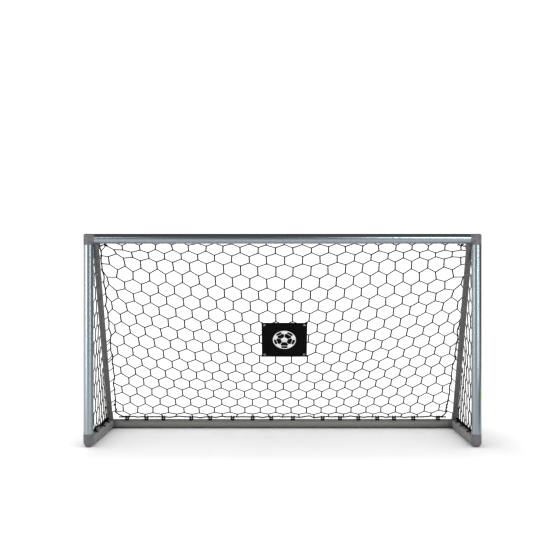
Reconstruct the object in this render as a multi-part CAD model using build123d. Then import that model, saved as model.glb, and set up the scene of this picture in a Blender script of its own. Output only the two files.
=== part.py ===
from build123d import *
import os
from math import cos, radians, sin

# Garden soccer goal: round aluminium tubes in moulded corners, slanted rear stays, a net on clips.
# Millimetres. +X to the right as the shooter sees it, +Y to the rear, +Z up, origin on the ground
# in the middle of the footprint.

# Driving dimensions
WIDTH = 2200.0  # over the posts
HEIGHT = 1178.0
DEPTH = 800.0  # over the front posts and the rear bar
TUBE_R = 27.5
TUBE_WALL = 1.8
STAY_R = 17.0
STAY_WALL = 1.5
FLOOR_GAP = 0.5  # the tubes stay this far above the flat foot pads

# Places of the tube axes
POST_X = WIDTH / 2 - TUBE_R
FRONT_Y = -DEPTH / 2 + TUBE_R
REAR_Y = -FRONT_Y
BAR_Z = TUBE_R + FLOOR_GAP
CROSSBAR_Z = HEIGHT - TUBE_R

# Moulded corners
LEG = 62.0 - TUBE_R  # each leg's length from the corner's centre
FOOT_LEG = 44.0
CORNER_EDGE_R = 9.0
PLUG_R = TUBE_R - TUBE_WALL - 0.25
PLUG_WALL = 4.0
PLUG_LENGTH = 70.0
SOCKET_R = 20.5
PAD = (24.0, 46.0, 9.0)
SLEEVE_LENGTH = 160.0
SLEEVE_WALL = 2.5

# Slanted stays, each on one straight axis from the top corner to the rear corner
STAY_TOP = Vector(1040.0, FRONT_Y + 35.0, 1130.0)
STAY_FOOT = Vector(POST_X, REAR_Y, BAR_Z)
TOP_SOCKET = (-22.0, 38.0)  # along the stay from STAY_TOP
STUB_START = 6.0
FOOT_SOCKET = 78.0  # up the stay from STAY_FOOT
FOOT_DEPTH = 30.0  # where the tube's end sits in it
STUB_R = STAY_R - STAY_WALL - 0.25
STUB_WALL = 1.5
STUB_END = 226.0
BUTTON_AT = 198.0

# Snap button, spring and guide, measured from the stay's axis
BUTTON_R = 4.4
BUTTON_HOLE_R = 4.7
BUTTON_TIP = 20.5
FLANGE_R = 6.0
FLANGE_AT = (10.2, 12.2)
GUIDE_BORE_R = 6.3
GUIDE_FLOOR = -9.0
SPRING_R = 4.4
SPRING_WIRE = 0.9
SPRING_TURNS = 6

# Screws
SCREW_R = 2.2
SCREW_HEAD_R = 4.6
SCREW_HEAD = 2.8
SCREW_LENGTH = 9.0

# Net, ropes and clips
ROPE_R = 2.5
ROPE_AT = TUBE_R + 13.0  # from the tube's axis
CLIP_WIDTH = 22.0
CLIP_EAR = 6.0
CLIP_THICK = 2.6
CLIP_TOP = 21.0  # above the tube's surface
CLIP_GAP = 0.1
STUD_R = 2.4
REAR_CLIPS = [-968, -848, -742, -568, -450, -311, -186, -70, 65, 250, 358, 472, 590, 694, 815, 968]
CROSSBAR_CLIPS = [-1000 + 2000 / 11 * i for i in range(12)]
POST_CLIPS = [180, 395, 610, 825, 1040]
SIDE_CLIPS = [FRONT_Y + d for d in (215, 450, 615)]
NET_THICK = 3.0
NET_TOP = (FRONT_Y + 36.0, CROSSBAR_Z - 12.0)
NET_FOOT = (REAR_Y - 11.0, BAR_Z + ROPE_AT + 6.0)
NET_SAG = 42.0
NET_SPANS = 4
NET_EDGE_X = 1014.0
SIDE_NET_X = POST_X + 0.5
SEAM_R = 3.0
SEAM_TOP = Vector(1020.0, FRONT_Y + 56.0, 1120.0)
SEAM_FOOT = Vector(1027.0, REAR_Y - 3.0, 72.0)

# Sign in the middle of the net
SIGN = (264.0, 250.0, 2.0)
SIGN_X = 11.0
SIGN_Z = 581.0
EYELET_INSET = 15.0
EYELET_R = 4.4
EYELET_RIM_R = 7.5

# Label on the right post
LABEL_Z = 285.0
LABEL_HEIGHT = 42.0
LABEL_THICK = 0.2
LABEL_ANGLES = (-50.0, 0.0, 50.0)

os.makedirs("parts", exist_ok=True)
SIDES = {"left": -1, "right": 1}


def rod(a, b, r):
    """A round bar from a to b."""
    a, b = Vector(*a), Vector(*b)
    plane = Plane(origin=a, z_dir=b - a)
    return plane * Cylinder(r, (b - a).length, align=(Align.CENTER, Align.CENTER, Align.MIN))


def tube(a, b, r, wall):
    return rod(a, b, r) - rod(a, b, r - wall)


def mirrored(part, side):
    """Parts are drawn on the right and mirrored to the left."""
    return part if side > 0 else mirror(part, about=Plane.YZ)


def save(name, *shapes):
    """Write one node. Each separate solid stays a solid of its own."""
    solids = [s for shape in shapes for s in shape.solids()]
    export_step(solids[0] if len(solids) == 1 else Compound(children=solids), f"parts/{name}.step")


# ---- screws: each is (point on the tube's axis, outward direction) ----


def screw(at, out, surface):
    """A pan-head screw that starts on a tube's surface and points at its axis."""
    at, out = Vector(*at), Vector(*out).normalized()
    seat = at + out * (surface + 0.05)
    head = Plane(origin=seat, z_dir=out) * Cylinder(
        SCREW_HEAD_R, SCREW_HEAD, align=(Align.CENTER, Align.CENTER, Align.MIN)
    )
    head = fillet(head.edges().sort_by(Axis(seat, out))[-1], SCREW_HEAD * 0.6)
    return head + rod(seat - out * SCREW_LENGTH, seat + out * 0.5, SCREW_R)


def screw_hole(at, out, surface, clearance):
    at, out = Vector(*at), Vector(*out).normalized()
    return rod(at + out * (surface - SCREW_LENGTH - 1), at + out * (surface + 1), SCREW_R + clearance)


PLUG_MIDDLE = 35.0
DOWN_OUT = (0, 1, -1)
SCREWS = {
    # name: [one (point, direction) for each screw], for the right side and mirrored
    "post_top": ((POST_X, FRONT_Y, CROSSBAR_Z - LEG - PLUG_MIDDLE), (-0.5, 0.87, 0)),
    "crossbar_end": ((POST_X - LEG - PLUG_MIDDLE, FRONT_Y, CROSSBAR_Z), (0, 0.5, -0.87)),
    "post_foot": ((POST_X, FRONT_Y, BAR_Z + FOOT_LEG + PLUG_MIDDLE), (-0.5, 0.87, 0)),
    "bar_front": ((POST_X, FRONT_Y + FOOT_LEG + PLUG_MIDDLE, BAR_Z), (1, 0, -1)),
    "bar_rear": ((POST_X, REAR_Y - FOOT_LEG - PLUG_MIDDLE, BAR_Z), (1, 0, -1)),
    "rear_end": ((POST_X - FOOT_LEG - PLUG_MIDDLE, REAR_Y, BAR_Z), DOWN_OUT),
}
SLEEVE_SCREW_X = 50.0
CROSSBAR_SLEEVE_SCREW = ((SLEEVE_SCREW_X, FRONT_Y, CROSSBAR_Z), (0, 1, 0))
REAR_SLEEVE_SCREW = ((SLEEVE_SCREW_X, REAR_Y, BAR_Z), DOWN_OUT)


def stay_frame():
    """The stay's direction, and the direction across it that faces the front."""
    along = (STAY_FOOT - STAY_TOP).normalized()
    front = Vector(0, -1, 0)
    return along, (front - along * front.dot(along)).normalized()


ALONG, ACROSS = stay_frame()


def on_stay(distance):
    return STAY_TOP + ALONG * distance


STAY_LENGTH = (STAY_FOOT - STAY_TOP).length
STAY_START = TOP_SOCKET[1] + 0.5
STAY_END = STAY_LENGTH - FOOT_DEPTH
FOOT_SCREW_AT = STAY_LENGTH - 60.0


# ---- tubes ----


def clip_holes(along, places, out, base):
    """Holes for the clips' studs in a tube along X, Y or Z."""
    for place in places:
        at = Vector(*(place if c == along else b for c, b in zip("xyz", base, strict=True)))
        out_v = Vector(*out)
        yield rod(at + out_v * (TUBE_R - TUBE_WALL - 3), at + out_v * (TUBE_R + 2), STUD_R + 0.2)


def post(side):
    low, high = BAR_Z + FOOT_LEG, CROSSBAR_Z - LEG
    body = tube((POST_X, FRONT_Y, low), (POST_X, FRONT_Y, high), TUBE_R, TUBE_WALL)
    for name in ("post_top", "post_foot"):
        body -= screw_hole(*SCREWS[name], TUBE_R, 0.3)
    for hole in clip_holes("z", POST_CLIPS, (0, 1, 0), (POST_X, FRONT_Y, 0)):
        body -= hole
    return mirrored(body, side)


def cross_tube(side, y, z, end, screws, clips, out):
    """One half of the crossbar or of the rear bar. The clips' places aren't symmetric."""
    body = tube((side * 0.1, y, z), (side * end, y, z), TUBE_R, TUBE_WALL)
    for at, way in screws:
        body -= mirrored(screw_hole(at, way, TUBE_R, 0.3), side)
    for hole in clip_holes("x", [c for c in clips if c * side > 0], out, (0, y, z)):
        body -= hole
    return body


def ground_bar(side):
    ends = (FRONT_Y + FOOT_LEG, REAR_Y - FOOT_LEG)
    body = tube((POST_X, ends[0], BAR_Z), (POST_X, ends[1], BAR_Z), TUBE_R, TUBE_WALL)
    for name in ("bar_front", "bar_rear"):
        body -= screw_hole(*SCREWS[name], TUBE_R, 0.3)
    for hole in clip_holes("y", SIDE_CLIPS, (0, 0, 1), (POST_X, 0, BAR_Z)):
        body -= hole
    return mirrored(body, side)


def sleeve(y, z, screw_at, clips, out):
    body = tube((-SLEEVE_LENGTH / 2, y, z), (SLEEVE_LENGTH / 2, y, z), PLUG_R, SLEEVE_WALL)
    for side in (-1, 1):
        body -= mirrored(screw_hole(*screw_at, TUBE_R, 0.05), side)
    for hole in clip_holes("x", clips, out, (0, y, z)):
        body -= hole
    return body


def stay(side):
    body = tube(on_stay(STAY_START), on_stay(STAY_END), STAY_R, STAY_WALL)
    button = on_stay(BUTTON_AT)
    body -= rod(button + ACROSS * 8, button + ACROSS * 25, BUTTON_HOLE_R)
    foot = on_stay(FOOT_SCREW_AT)
    body -= rod(foot + ACROSS * 8, foot + ACROSS * 25, SCREW_R + 0.2)
    return mirrored(body, side)


# ---- corners ----


def plug(start, way):
    """The hollow plug that goes into a tube."""
    start, way = Vector(*start), Vector(*way)
    return tube(start - way * 4, start + way * PLUG_LENGTH, PLUG_R, PLUG_WALL)


def leg_pair(corner, ways, lengths):
    """The solid legs of a corner and their plugs."""
    legs, plugs = None, []
    for way, length in zip(ways, lengths, strict=True):
        end = corner + Vector(*way) * length
        leg = rod(corner, end, TUBE_R)
        legs = leg if legs is None else legs + leg
        plugs.append(plug(end, way))
    return legs, plugs


def top_corner(side):
    corner = Vector(POST_X, FRONT_Y, CROSSBAR_Z)
    _, plugs = leg_pair(corner, [(0, 0, -1), (-1, 0, 0)], [LEG, LEG])
    upright = rod((POST_X, FRONT_Y, CROSSBAR_Z - LEG), (POST_X, FRONT_Y, HEIGHT), TUBE_R)
    upright = fillet(upright.edges().sort_by(Axis.Z)[-1], CORNER_EDGE_R)
    body = upright + rod(corner, corner - Vector(LEG, 0, 0), TUBE_R)
    socket = rod(on_stay(TOP_SOCKET[0]), on_stay(TOP_SOCKET[1]), SOCKET_R)
    body += socket - rod(corner - Vector(LEG, 0, 0), corner - Vector(2 * LEG, 0, 0), TUBE_R + 0.3)
    body -= rod(on_stay(STUB_START - 0.5), on_stay(TOP_SOCKET[1] + 5), STUB_R + 0.2)
    for p in plugs:
        body += p
    for name in ("post_top", "crossbar_end"):
        body -= screw_hole(*SCREWS[name], TUBE_R, 0.05)
    for hole in clip_holes("x", CROSSBAR_CLIPS[-1:], (0, 1, 0), (0, FRONT_Y, CROSSBAR_Z)):
        body -= hole
    return mirrored(body, side)


def foot_pad(x, y):
    pad = Pos(x, y, PAD[2] / 2) * Box(*PAD)
    return fillet(pad.edges().filter_by(Axis.Z), 5)


def foot_corner(side):
    corner = Vector(POST_X, FRONT_Y, BAR_Z)
    body, plugs = leg_pair(corner, [(0, 0, 1), (0, 1, 0)], [FOOT_LEG, FOOT_LEG])
    body += Pos(*corner) * Sphere(TUBE_R)
    body += foot_pad(POST_X, FRONT_Y + 8)
    for p in plugs:
        body += p
    for name in ("post_foot", "bar_front"):
        body -= screw_hole(*SCREWS[name], TUBE_R, 0.05)
    return mirrored(body, side)


def rear_corner(side):
    corner = Vector(*STAY_FOOT)
    body, plugs = leg_pair(corner, [(0, -1, 0), (-1, 0, 0)], [FOOT_LEG, FOOT_LEG])
    body += Pos(*corner) * Sphere(TUBE_R)
    body += foot_pad(POST_X, REAR_Y - 8)
    body += rod(corner, on_stay(STAY_LENGTH - FOOT_SOCKET), SOCKET_R)
    body -= rod(on_stay(STAY_END + 0.2), on_stay(STAY_LENGTH - FOOT_SOCKET - 5), STAY_R + 0.25)
    for p in plugs:
        body += p
    for name in ("bar_rear", "rear_end"):
        body -= screw_hole(*SCREWS[name], TUBE_R, 0.05)
    foot = on_stay(FOOT_SCREW_AT)
    body -= rod(foot + ACROSS * 12, foot + ACROSS * 25, SCREW_R + 0.2)
    end_clip = [max(abs(REAR_CLIPS[0]), abs(REAR_CLIPS[-1]))]
    for hole in clip_holes("x", end_clip, (0, 0, 1), (0, REAR_Y, BAR_Z)):
        body -= hole
    return mirrored(body, side)


# ---- inside the stays ----


def stub(side):
    """The short inner tube fixed in the top corner, over which the stay slides."""
    body = tube(on_stay(STUB_START), on_stay(STUB_END), STUB_R, STUB_WALL)
    button = on_stay(BUTTON_AT)
    body -= rod(button + ACROSS * 8, button + ACROSS * 25, BUTTON_HOLE_R)
    return mirrored(body, side)


def button_guide(side):
    """A plug inside the stub with the cross bore in which the button and its spring sit."""
    middle = on_stay(BUTTON_AT)
    body = rod(middle - ALONG * 15, middle + ALONG * 15, STUB_R - STUB_WALL - 0.2)
    body -= rod(middle + ACROSS * GUIDE_FLOOR, middle + ACROSS * 20, GUIDE_BORE_R)
    return mirrored(body, side)


def snap_button(side):
    middle = on_stay(BUTTON_AT)
    flange = rod(middle + ACROSS * FLANGE_AT[0], middle + ACROSS * FLANGE_AT[1], FLANGE_R)
    stem = rod(middle + ACROSS * (FLANGE_AT[0] + 0.5), middle + ACROSS * BUTTON_TIP, BUTTON_R)
    stem = fillet(stem.edges().sort_by(Axis(middle, ACROSS))[-1], BUTTON_R * 0.6)
    return mirrored(flange + stem, side)


def button_spring(side):
    middle = on_stay(BUTTON_AT)
    low, high = GUIDE_FLOOR + SPRING_WIRE / 2 + 0.05, FLANGE_AT[0] - SPRING_WIRE / 2 - 0.05
    height = high - low
    path = Helix(height / SPRING_TURNS, height, SPRING_R)
    section = Plane(origin=path @ 0, z_dir=path % 0) * Circle(SPRING_WIRE / 2)
    coil = sweep(section, path=path, is_frenet=True)
    seat = Plane(origin=middle + ACROSS * low, z_dir=ACROSS)
    return mirrored(seat * coil, side)


# ---- net clips and ropes ----


def clip():
    """A clip for a tube along X, with its outward side up: a saddle, two ears and a snap stud."""
    inner, half = TUBE_R + CLIP_GAP, 38.0
    ring = Circle(inner + CLIP_THICK) - Circle(inner)
    wedge = Polygon(
        (0, 0), (80 * sin(radians(half)), 80 * cos(radians(half))),
        (-80 * sin(radians(half)), 80 * cos(radians(half))), align=None,
    )
    saddle = extrude(Plane.YZ * (ring & wedge), CLIP_WIDTH / 2, both=True)
    ear_base = inner + CLIP_THICK / 2
    top = TUBE_R + CLIP_TOP
    outline = Pos(0, (ear_base + top - 6) / 2) * Rectangle(12, top - 6 - ear_base)
    outline += Pos(0, top - 6) * Circle(6)
    outline -= Pos(0, ROPE_AT) * Circle(ROPE_R + 0.7)
    body = saddle
    for end in (-1, 1):
        plane = Plane.YZ.offset(end * (CLIP_WIDTH - CLIP_EAR) / 2)
        body += extrude(plane * outline, CLIP_EAR / 2, both=True)
    stud = rod((0, 0, TUBE_R - TUBE_WALL - 2.5), (0, 0, inner + CLIP_THICK / 2), STUD_R)
    return body + stud


CLIP = clip()


def clips_on_crossbar():
    frame = Plane(origin=(0, FRONT_Y, CROSSBAR_Z), x_dir=(1, 0, 0), z_dir=(0, 1, 0))
    return [frame * Pos(x, 0, 0) * CLIP for x in CROSSBAR_CLIPS]


def clips_on_rear_bar():
    return [Pos(x, REAR_Y, BAR_Z) * CLIP for x in REAR_CLIPS]


def clips_on_post(side):
    places = [Plane(origin=(POST_X * side, FRONT_Y, z), x_dir=(0, 0, 1), z_dir=(0, 1, 0)) for z in POST_CLIPS]
    return [place * CLIP for place in places]


def clips_on_side_bar(side):
    return [Pos(POST_X * side, y, BAR_Z) * Rot(0, 0, 90) * CLIP for y in SIDE_CLIPS]


def rope_on_post(side):
    y = FRONT_Y + ROPE_AT
    return rod((POST_X * side, y, POST_CLIPS[0] - 20), (POST_X * side, y, POST_CLIPS[-1] + 16), ROPE_R)


def rope_on_side_bar(side):
    x, z = POST_X * side, BAR_Z + ROPE_AT
    return rod((x, FRONT_Y + 95, z), (x, SIDE_CLIPS[-1] + 18, z), ROPE_R)


def net_line():
    """The back net's profile from the crossbar to the rear bar, hanging in a shallow curve."""
    (y0, z0), (y1, z1) = NET_TOP, NET_FOOT
    span = Vector(y1 - y0, z1 - z0, 0)
    inward = Vector(span.Y, -span.X, 0).normalized()
    points = []
    for i in range(NET_SPANS + 1):
        t = i / NET_SPANS
        p = Vector(y0, z0, 0) + span * t + inward * (4 * NET_SAG * t * (1 - t))
        points.append((p.X, p.Y))
    return points


def back_net():
    line = net_line()
    strip = None
    for (ya, za), (yb, zb) in zip(line, line[1:], strict=False):
        way = Vector(yb - ya, zb - za, 0).normalized()
        across = Vector(-way.Y, way.X, 0) * (NET_THICK / 2)
        corners = [
            (ya - across.X, za - across.Y), (yb - across.X, zb - across.Y),
            (yb + across.X, zb + across.Y), (ya + across.X, za + across.Y),
        ]
        piece = extrude(Plane.YZ * Polygon(*corners, align=None), NET_EDGE_X, both=True)
        strip = piece if strip is None else strip + piece
        strip += rod((-NET_EDGE_X, yb, zb), (NET_EDGE_X, yb, zb), NET_THICK / 2)
    return strip


def stay_front_y(z, away):
    """Y of the line that runs in front of the stay, clear of its axis by away."""
    slope = ALONG.Y / -ALONG.Z
    return STAY_TOP.Y + slope * (STAY_TOP.Z - z) - away / (-ALONG.Z)


def side_net(side):
    reach = TUBE_R + CLIP_TOP + 2
    y_front, z_low = FRONT_Y + reach, BAR_Z + reach
    away = STAY_R + 5
    rear = stay_front_y(z_low, away)
    slope = ALONG.Y / -ALONG.Z
    z_high = STAY_TOP.Z - (y_front - stay_front_y(STAY_TOP.Z, away)) / slope
    outline = Polygon((y_front, z_low), (rear - 26, z_low), (y_front, z_high - 40), align=None)
    plate = Pos(SIDE_NET_X, 0, 0) * extrude(Plane.YZ * outline, NET_THICK / 2, both=True)
    return mirrored(plate, side)


def seam_cord(side):
    return mirrored(rod(SEAM_TOP, SEAM_FOOT, SEAM_R), side)


# ---- sign and label ----


def sign_plane():
    """The plane of the sign, just in front of the back net."""
    line = net_line()
    for (ya, za), (yb, zb) in zip(line, line[1:], strict=False):
        if zb <= SIGN_Z <= za:
            break
    way = Vector(0, yb - ya, zb - za).normalized()
    y = ya + (yb - ya) * (za - SIGN_Z) / (za - zb)
    front = Vector(0, way.Z, -way.Y)
    return Plane(origin=Vector(SIGN_X, y, SIGN_Z) + front * 16, x_dir=(1, 0, 0), z_dir=front)


def eyelet_places():
    dx, dy = SIGN[0] / 2 - EYELET_INSET, SIGN[1] / 2 - EYELET_INSET
    return [(dx * i, dy * j) for i in (-1, 1) for j in (-1, 1)]


def sign_panel():
    panel = Box(*SIGN)
    panel = fillet(panel.edges().filter_by(Axis.Z), 6)
    for x, y in eyelet_places():
        panel -= Pos(x, y, 0) * Cylinder(EYELET_R + 0.15, 10)
    return sign_plane() * panel


def sign_eyelets():
    rings = []
    for x, y in eyelet_places():
        ring = Cylinder(EYELET_R, SIGN[2])
        for end in (-1, 1):
            ring += Pos(0, 0, end * (SIGN[2] / 2 + 0.4)) * Cylinder(EYELET_RIM_R, 0.8)
        ring -= Cylinder(EYELET_R - 1.0, 10)
        rings.append(sign_plane() * Pos(x, y, 0) * ring)
    return rings


def sign_ties():
    """A short cord through each eyelet, knotted in front and behind."""
    ties = []
    for x, y in eyelet_places():
        tie = Pos(0, 0, -2) * Cylinder(1.6, 11)
        tie += Pos(0, 0, 4.5) * Sphere(3.0)
        tie += Pos(0, 0, -7.5) * Sphere(3.0)
        ties.append(sign_plane() * Pos(x, y, 0) * tie)
    return ties


def post_label():
    ring = Circle(TUBE_R + LABEL_THICK) - Circle(TUBE_R)
    far = 60.0
    wedge = Polygon(
        (0, 0), *((far * cos(radians(a)), far * sin(radians(a))) for a in LABEL_ANGLES), align=None
    )
    return Pos(POST_X, FRONT_Y, LABEL_Z) * extrude(ring & wedge, LABEL_HEIGHT / 2, both=True)


# ---- write the nodes ----

for word, side in SIDES.items():
    save(f"{word}_post", post(side))
    save(f"{word}_ground_bar", ground_bar(side))
    save(f"{word}_stay", stay(side))
    save(f"{word}_top_corner", top_corner(side))
    save(f"{word}_foot_corner", foot_corner(side))
    save(f"{word}_rear_corner", rear_corner(side))
    save(f"{word}_stay_stub", stub(side))
    save(f"{word}_button_guide", button_guide(side))
    save(f"{word}_snap_button", snap_button(side))
    save(f"{word}_button_spring", button_spring(side))
    save(f"{word}_post_clips", *clips_on_post(side))
    save(f"{word}_bar_clips", *clips_on_side_bar(side))
    save(f"{word}_post_rope", rope_on_post(side))
    save(f"{word}_bar_rope", rope_on_side_bar(side))
    save(f"{word}_side_net", side_net(side))
    save(f"{word}_seam_cord", seam_cord(side))
    top_screws = (SCREWS["crossbar_end"], CROSSBAR_SLEEVE_SCREW)
    half = cross_tube(side, FRONT_Y, CROSSBAR_Z, POST_X - LEG, top_screws, CROSSBAR_CLIPS, (0, 1, 0))
    save(f"crossbar_{word}_half", half)
    low_screws = (SCREWS["rear_end"], REAR_SLEEVE_SCREW)
    half = cross_tube(side, REAR_Y, BAR_Z, POST_X - FOOT_LEG, low_screws, REAR_CLIPS, (0, 0, 1))
    save(f"rear_bar_{word}_half", half)

save("crossbar_sleeve", sleeve(FRONT_Y, CROSSBAR_Z, CROSSBAR_SLEEVE_SCREW, [], (0, 1, 0)))
NEAR_MIDDLE = [c for c in REAR_CLIPS if abs(c) < SLEEVE_LENGTH / 2]
save("rear_bar_sleeve", sleeve(REAR_Y, BAR_Z, REAR_SLEEVE_SCREW, NEAR_MIDDLE, (0, 0, 1)))


def screw_pairs(*places):
    return [mirrored(screw(at, out, TUBE_R), side) for at, out in places for side in (-1, 1)]


save("top_corner_screws", *screw_pairs(SCREWS["post_top"], SCREWS["crossbar_end"]))
save("foot_corner_screws", *screw_pairs(SCREWS["post_foot"], SCREWS["bar_front"]))
save("rear_corner_screws", *screw_pairs(SCREWS["bar_rear"], SCREWS["rear_end"]))
save("crossbar_sleeve_screws", *screw_pairs(CROSSBAR_SLEEVE_SCREW))
save("rear_bar_sleeve_screws", *screw_pairs(REAR_SLEEVE_SCREW))
FOOT_SCREW = screw(on_stay(FOOT_SCREW_AT), ACROSS, SOCKET_R)
save("stay_foot_screws", *(mirrored(FOOT_SCREW, side) for side in (-1, 1)))

save("crossbar_clips", *clips_on_crossbar())
save("rear_bar_clips", *clips_on_rear_bar())
CROSSBAR_ROPE_Y = FRONT_Y + ROPE_AT
save("crossbar_rope", rod((-1016, CROSSBAR_ROPE_Y, CROSSBAR_Z), (1016, CROSSBAR_ROPE_Y, CROSSBAR_Z), ROPE_R))
REAR_ROPE_Z = BAR_Z + ROPE_AT
save("rear_rope", rod((-1015, REAR_Y, REAR_ROPE_Z), (1015, REAR_Y, REAR_ROPE_Z), ROPE_R))
save("back_net", back_net())
save("sign_panel", sign_panel())
save("sign_eyelets", *sign_eyelets())
save("sign_ties", *sign_ties())
save("post_label", post_label())
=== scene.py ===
import math

import bpy
import numpy as np
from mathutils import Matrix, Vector
from numpy.linalg import norm


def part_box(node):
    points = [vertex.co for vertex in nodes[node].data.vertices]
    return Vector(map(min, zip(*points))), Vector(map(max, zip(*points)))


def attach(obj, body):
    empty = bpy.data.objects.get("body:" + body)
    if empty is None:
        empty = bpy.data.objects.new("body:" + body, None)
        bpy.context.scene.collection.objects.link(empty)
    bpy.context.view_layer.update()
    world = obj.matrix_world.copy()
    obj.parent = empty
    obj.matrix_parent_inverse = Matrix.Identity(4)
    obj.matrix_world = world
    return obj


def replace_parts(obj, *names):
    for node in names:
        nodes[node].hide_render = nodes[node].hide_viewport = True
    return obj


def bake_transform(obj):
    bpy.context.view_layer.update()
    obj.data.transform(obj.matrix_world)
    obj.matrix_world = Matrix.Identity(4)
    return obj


# Garden soccer goal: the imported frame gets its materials, and the net, ropes and sign are made here.
# Metres, +X right, +Y to the rear, +Z up.

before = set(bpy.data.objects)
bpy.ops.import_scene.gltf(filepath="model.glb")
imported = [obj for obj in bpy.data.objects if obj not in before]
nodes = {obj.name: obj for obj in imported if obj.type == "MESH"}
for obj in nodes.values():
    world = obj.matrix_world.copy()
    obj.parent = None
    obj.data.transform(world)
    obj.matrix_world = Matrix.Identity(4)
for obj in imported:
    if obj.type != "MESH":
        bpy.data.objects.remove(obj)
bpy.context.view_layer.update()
scene = bpy.context.scene
rng = np.random.default_rng(11)
SIDES = (("left", -1), ("right", 1))


def unit(vector):
    return vector / norm(vector)


def box(name):
    """A node's low and high corners."""
    return [np.array(p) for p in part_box(name)]


def centre(name):
    low, high = box(name)
    return (low + high) / 2


def node_points(name):
    mesh = nodes[name].data
    found = np.zeros(len(mesh.vertices) * 3)
    mesh.vertices.foreach_get("co", found)
    return found.reshape(-1, 3)


def places_along(name, axis, gap=0.03):
    """Where the separate pieces of a node lie along an axis."""
    values = np.unique(node_points(name)[:, axis])
    cuts = np.where(np.diff(values) > gap)[0]
    return [float(g[0] + g[-1]) / 2 for g in np.split(values, cuts + 1)]


# Places, all from the frame
POST_X, FRONT_Y, _ = centre("right_post")
CROSSBAR_Z = centre("crossbar_right_half")[2]
REAR_Y = centre("rear_bar_right_half")[1]
TUBE_R = (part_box("right_post")[1][0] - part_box("right_post")[0][0]) / 2
ROPE_BACK_Y = centre("crossbar_rope")[1]
REAR_ROPE_Z = centre("rear_rope")[2]
SIDE_ROPE_Z = centre("right_bar_rope")[2]
SIGN_LOW, SIGN_HIGH = box("sign_panel")
SIGN_MIDDLE = (SIGN_LOW + SIGN_HIGH) / 2
SIGN_W = SIGN_HIGH[0] - SIGN_LOW[0]
SIGN_RISE = np.array([0, SIGN_LOW[1] - SIGN_HIGH[1], SIGN_HIGH[2] - SIGN_LOW[2]])
SIGN_H = float(norm(SIGN_RISE)) - 0.0018  # the panel's thickness adds this to its box
SIGN_UP = unit(SIGN_RISE)
SIGN_OUT = np.cross((1, 0, 0), SIGN_UP)


# ---- meshes from lines ----

AWRY = (0.31, 0.87, 0.38)  # no cord runs this way
KNOT_BLUNT = 0.3  # how wide a knot's ends are, as a share


def directions(line):
    """The way a line runs at each of its points."""
    ways = np.gradient(line, axis=0)
    return ways / norm(ways, axis=1)[:, None]


def lengths_along(line):
    """How far along a line each of its points lies."""
    return np.concatenate([[0], np.cumsum(norm(np.diff(line, axis=0), axis=1))])


def make_mesh(name, points, faces, material, smooth_shaded=False):
    mesh = bpy.data.meshes.new(name)
    mesh.from_pydata(points, [], faces)
    mesh.polygons.foreach_set("use_smooth", [smooth_shaded] * len(faces))
    mesh.materials.append(material)
    return mesh


def make_object(name, data):
    obj = bpy.data.objects.new(name, data)
    scene.collection.objects.link(obj)
    return obj


def make_piece(mesh, body="frame"):
    """A visible piece. It rides on a body, unless it joins two."""
    obj = make_object(mesh.name, mesh)
    if body:
        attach(obj, body)
    return obj


class Strands:
    """Gathers closed tubes and knots, and makes one mesh of them."""

    def __init__(self):
        self.points, self.faces, self.uvs, self.count = [], [], [], 0

    def tube(self, path, radius, sides=6):
        path = np.asarray(path, float)
        radii = np.broadcast_to(radius, len(path))
        ways, along = directions(path), lengths_along(path)
        side = np.cross(ways[0], AWRY)
        turn = np.linspace(0, 2 * np.pi, sides, endpoint=False)
        start = self.count
        for place, way, r in zip(path, ways, radii, strict=True):
            side = unit(side - way * np.dot(side, way))
            up = np.cross(way, side)
            self.points.append(place + r * (np.cos(turn)[:, None] * side + np.sin(turn)[:, None] * up))
        n = len(path)
        self.count += n * sides
        for i in range(n - 1):
            for k in range(sides):
                j = (k + 1) % sides
                a, b = start + i * sides, start + (i + 1) * sides
                self.faces.append((a + k, a + j, b + j, b + k))
                v0, v1 = k / sides, (k + 1) / sides
                self.uvs += [(along[i], v0), (along[i], v1), (along[i + 1], v1), (along[i + 1], v0)]
        for cap, flip in ((start, True), (start + (n - 1) * sides, False)):
            loop = list(range(cap, cap + sides))
            self.faces.append(tuple(reversed(loop)) if flip else tuple(loop))
            self.uvs += [(0.0, 0.0)] * sides

    def twisted(self, path, radius, strand, lay, turns_sides=(7, 5), count=2, phase=0.0):
        """Strands of a laid cord, wound round a path. The lay is the length of one turn."""
        path = np.asarray(path, float)
        along = lengths_along(path)
        n = max(4, int(along[-1] / lay * turns_sides[0]) + 1)
        at = np.linspace(0, along[-1], n)
        line = np.stack([np.interp(at, along, path[:, k]) for k in range(3)], axis=1)
        ways = directions(line)
        side = np.cross(ways, AWRY)
        side /= norm(side, axis=1)[:, None]
        up = np.cross(ways, side)
        for k in range(count):
            angle = (at / lay * 2 * np.pi + phase + 2 * np.pi * k / count)[:, None]
            self.tube(line + radius * (np.cos(angle) * side + np.sin(angle) * up), strand, turns_sides[1])

    def knot(self, place, way, length, width):
        """A small tight knot, longer along the cord."""
        way = np.asarray(way, float) / max(norm(way), 1e-9)
        t = np.linspace(-1, 1, 6)
        self.tube(
            np.asarray(place) + t[:, None] * way * length / 2,
            np.maximum(np.sqrt(np.maximum(1 - t * t, 0)), KNOT_BLUNT) * width / 2,
        )

    def build(self, name, look="cord", slot="netting", body="frame"):
        mesh = make_mesh(name, np.concatenate(self.points).tolist(), self.faces, looks[look], True)
        uv = mesh.uv_layers.new(name="along")
        uv.data.foreach_set("uv", np.array(self.uvs, float).ravel())
        return make_piece(mesh, body)


# ---- materials ----


def principled(name):
    material = bpy.data.materials.new(name)
    material.use_nodes = True
    tree = material.node_tree
    shader = next(n for n in tree.nodes if n.type == "BSDF_PRINCIPLED")
    return material, tree, shader


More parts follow.
